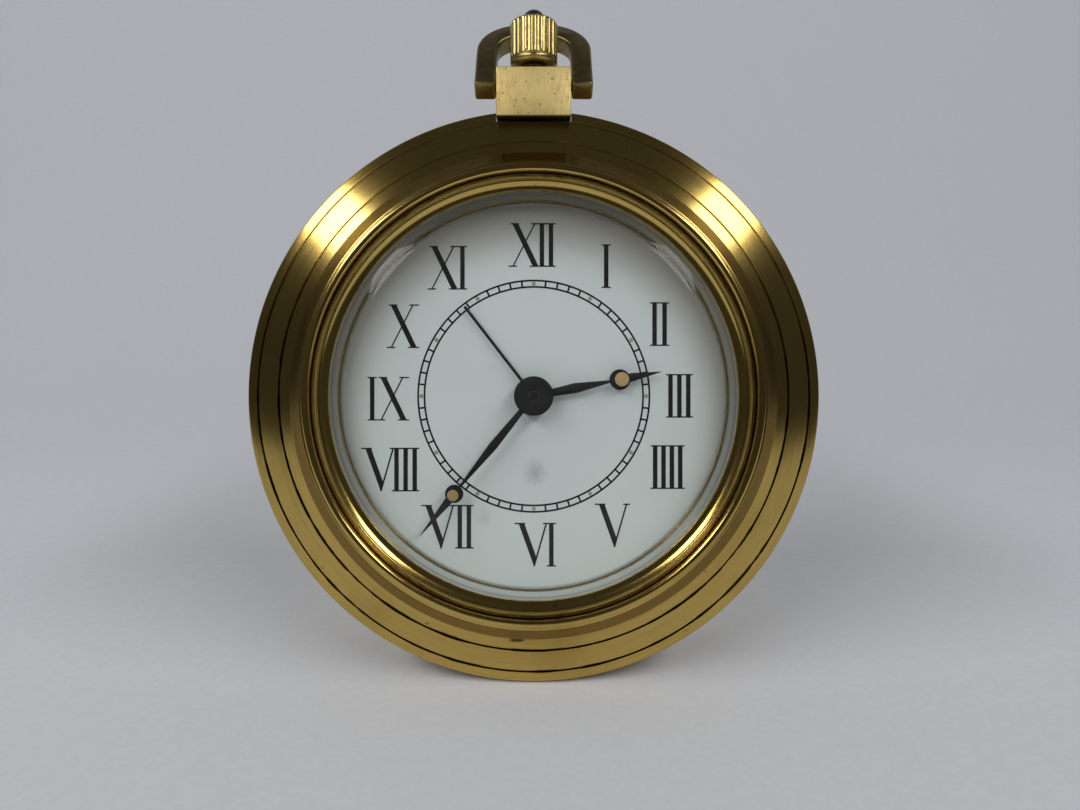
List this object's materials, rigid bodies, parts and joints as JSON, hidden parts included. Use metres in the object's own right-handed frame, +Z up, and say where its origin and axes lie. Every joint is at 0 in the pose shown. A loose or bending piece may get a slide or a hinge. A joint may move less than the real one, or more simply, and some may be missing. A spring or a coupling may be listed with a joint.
{
  "type": "wind-up desk alarm clock",
  "caption": "Wind-up alarm clock shaped like a pocket watch: brass bezel, square neck with ribbed crown and bow, Roman dial, fold-out strut and a wheelwork movement inside.",
  "frame": {"origin": "centre of the bottom of the bounding box, on the surface that the clock stands on", "axes": "+Z up, +Y toward the back, +X toward 3 on the dial; the dial leans back by 12 degrees"},
  "size_m": [0.0798, 0.0458, 0.0931],
  "materials": {
    "bezel_brass": "polished brass with fine turning lines and small age spots",
    "neck_brass": "file-finished yellow brass",
    "crown_brass": "ribbed polished brass",
    "bow_brass": "satin brass, darkened with age",
    "case_brass": "satin drawn brass",
    "key_brass": "polished brass",
    "movement_brass": "brushed brass",
    "steel": "bright steel",
    "spring_steel": "blued spring steel",
    "crystal": "clear domed window",
    "dial_white": "satin white enamel paint",
    "hand_black": "black paint",
    "lume": "dull luminous paint",
    "cap_black": "black domed cap"
  },
  "bodies": {
    "case": {"bezel": "bezel_brass", "crystal": "crystal", "crystal_ring": "movement_brass", "dial": "dial_white", "case_body": "case_brass", "back_cover": "case_brass", "cover_screw_1": "steel", "cover_screw_2": "steel", "cover_screw_3": "steel", "neck_block": "neck_brass", "neck_stud": "case_brass", "bow_pin_left": "bow_brass", "bow_pin_right": "bow_brass", "stand_bracket": "case_brass", "hinge_pin": "steel", "front_plate": "movement_brass", "back_plate": "movement_brass", "pillar_1": "movement_brass", "pillar_2": "movement_brass", "pillar_3": "movement_brass", "cover_post_1": "steel", "cover_post_2": "steel", "cover_post_3": "steel", "hairspring": "spring_steel"},
    "crown_button": {"crown": "crown_brass", "crown_cap": "cap_black", "crown_stem": "steel"},
    "bow": {"bow": "bow_brass"},
    "strut": {"strut": "case_brass"},
    "minute_work": {"centre_arbor": "steel", "cannon_pinion": "movement_brass", "minute_hand": "hand_black", "minute_hand_lume": "lume", "hand_knob": "key_brass"},
    "minute_wheel": {"minute_wheel": "movement_brass"},
    "hour_work": {"hour_wheel": "movement_brass", "hour_hand": "hand_black", "hour_hand_lume": "lume"},
    "alarm_pointer": {"alarm_wheel": "movement_brass", "alarm_hand": "hand_black"},
    "alarm_setting": {"alarm_set_arbor": "steel", "alarm_knob": "key_brass"},
    "time_barrel": {"time_barrel": "movement_brass", "time_mainspring": "spring_steel"},
    "centre_wheel": {"centre_wheel": "movement_brass"},
    "third_wheel": {"third_wheel": "movement_brass"},
    "fourth_wheel": {"fourth_wheel": "movement_brass"},
    "escape_wheel": {"escape_wheel": "movement_brass"},
    "pallet_fork": {"pallet_fork": "steel"},
    "balance": {"balance_wheel": "movement_brass"},
    "time_winding": {"time_arbor": "steel", "time_key": "key_brass"},
    "alarm_barrel": {"alarm_barrel": "movement_brass", "alarm_mainspring": "spring_steel"},
    "alarm_winding": {"alarm_arbor": "steel", "alarm_key": "key_brass"},
    "verge_wheel": {"verge_wheel": "movement_brass"},
    "alarm_hammer": {"alarm_hammer": "steel"},
    "regulator": {"regulator": "steel"},
    "alarm_stop": {"alarm_stop_lever": "steel"}
  },
  "joints": [
    {"name": "crown_lift", "type": "slide", "parent": "case", "child": "crown_button", "axis": [0, 0.2079, 0.9781], "range_m": [0, 0.0015]},
    {"name": "bow_swing", "type": "hinge", "parent": "case", "child": "bow", "pos_m": [0, -0.00037, 0.08199], "axis": [1, 0, 0], "range_deg": [-80, 1.5]},
    {"name": "strut_fold", "type": "hinge", "parent": "case", "child": "strut", "pos_m": [0, 0.00991, 0.02132], "axis": [1, 0, 0], "range_deg": [-42, 0]},
    {"name": "hand_setting", "type": "hinge", "parent": "case", "child": "minute_work", "pos_m": [0, -0.0121, 0.03929], "axis": [0, -0.9781, 0.2079], "continuous": true},
    {"name": "minute_wheel_turn", "type": "hinge", "parent": "case", "child": "minute_wheel", "pos_m": [0, -0.014, 0.03037], "axis": [0, -0.9781, 0.2079], "continuous": true},
    {"name": "hour_turn", "type": "hinge", "parent": "case", "child": "hour_work", "pos_m": [0, -0.0121, 0.03929], "axis": [0, -0.9781, 0.2079], "continuous": true},
    {"name": "alarm_pointer_turn", "type": "hinge", "parent": "case", "child": "alarm_pointer", "pos_m": [0, -0.0121, 0.03929], "axis": [0, -0.9781, 0.2079], "continuous": true},
    {"name": "alarm_setting", "type": "hinge", "parent": "case", "child": "alarm_setting", "pos_m": [0, -0.00963, 0.05091], "axis": [0, -0.9781, 0.2079], "continuous": true},
    {"name": "fourth_turn", "type": "hinge", "parent": "case", "child": "fourth_wheel", "pos_m": [-0.00462, -0.01534, 0.02409], "axis": [0, -0.9781, 0.2079], "continuous": true},
    {"name": "third_turn", "type": "hinge", "parent": "case", "child": "third_wheel", "pos_m": [-0.00968, -0.01351, 0.03266], "axis": [0, -0.9781, 0.2079], "continuous": true},
    {"name": "centre_turn", "type": "hinge", "parent": "case", "child": "centre_wheel", "pos_m": [0, -0.0121, 0.03929], "axis": [0, -0.9781, 0.2079], "continuous": true},
    {"name": "time_barrel_turn", "type": "hinge", "parent": "case", "child": "time_barrel", "pos_m": [-0.01264, -0.01105, 0.04426], "axis": [0, -0.9781, 0.2079], "continuous": true},
    {"name": "escape_turn", "type": "hinge", "parent": "case", "child": "escape_wheel", "pos_m": [0.00396, -0.01549, 0.02335], "axis": [0, -0.9781, 0.2079], "continuous": true},
    {"name": "balance_swing", "type": "hinge", "parent": "case", "child": "balance", "pos_m": [0.0125, -0.01377, 0.03147], "axis": [0, -0.9781, 0.2079], "range_deg": [-150, 150], "stiffness_Nm_per_rad": 0.000001},
    {"name": "pallet_rock", "type": "hinge", "parent": "case", "child": "pallet_fork", "pos_m": [0.00847, -0.01495, 0.0259], "axis": [0, -0.9781, 0.2079], "range_deg": [-8, 8]},
    {"name": "time_winding", "type": "hinge", "parent": "case", "child": "time_winding", "pos_m": [-0.01264, -0.01105, 0.04426], "axis": [0, -0.9781, 0.2079], "range_deg": [0, 1440]},
    {"name": "alarm_winding", "type": "hinge", "parent": "case", "child": "alarm_winding", "pos_m": [0.0135, -0.01075, 0.04565], "axis": [0, -0.9781, 0.2079], "range_deg": [0, 1440]},
    {"name": "alarm_barrel_turn", "type": "hinge", "parent": "case", "child": "alarm_barrel", "pos_m": [0.0135, -0.01075, 0.04565], "axis": [0, -0.9781, 0.2079], "continuous": true},
    {"name": "verge_turn", "type": "hinge", "parent": "case", "child": "verge_wheel", "pos_m": [0.00894, -0.00815, 0.05789], "axis": [0, -0.9781, 0.2079], "continuous": true},
    {"name": "hammer_swing", "type": "hinge", "parent": "case", "child": "alarm_hammer", "pos_m": [0.00411, -0.00788, 0.05915], "axis": [0, -0.9781, 0.2079], "range_deg": [-6, 6]},
    {"name": "regulator_turn", "type": "hinge", "parent": "case", "child": "regulator", "pos_m": [0.0125, -0.01377, 0.03147], "axis": [0, -0.9781, 0.2079], "range_deg": [-15, 15]},
    {"name": "alarm_stop_turn", "type": "hinge", "parent": "case", "child": "alarm_stop", "pos_m": [0.00902, -0.00722, 0.06227], "axis": [0, -0.9781, 0.2079], "range_deg": [-16, 0]}
  ],
  "couplings": [
    {"joint": "minute_wheel_turn", "follows": "hand_setting", "ratio": -0.33333},
    {"joint": "hour_turn", "follows": "hand_setting", "ratio": 0.083333},
    {"joint": "alarm_setting", "follows": "alarm_pointer_turn", "ratio": -3.2},
    {"joint": "third_turn", "follows": "fourth_turn", "ratio": -0.19048},
    {"joint": "centre_turn", "follows": "fourth_turn", "ratio": 0.034632},
    {"joint": "time_barrel_turn", "follows": "fourth_turn", "ratio": -0.008658},
    {"joint": "escape_turn", "follows": "fourth_turn", "ratio": -5.25},
    {"joint": "pallet_rock", "follows": "balance_swing", "ratio": -0.053333},
    {"joint": "verge_turn", "follows": "alarm_barrel_turn", "ratio": -4.5},
    {"joint": "alarm_stop_turn", "follows": "crown_lift", "rad_per_m": -111}
  ]
}
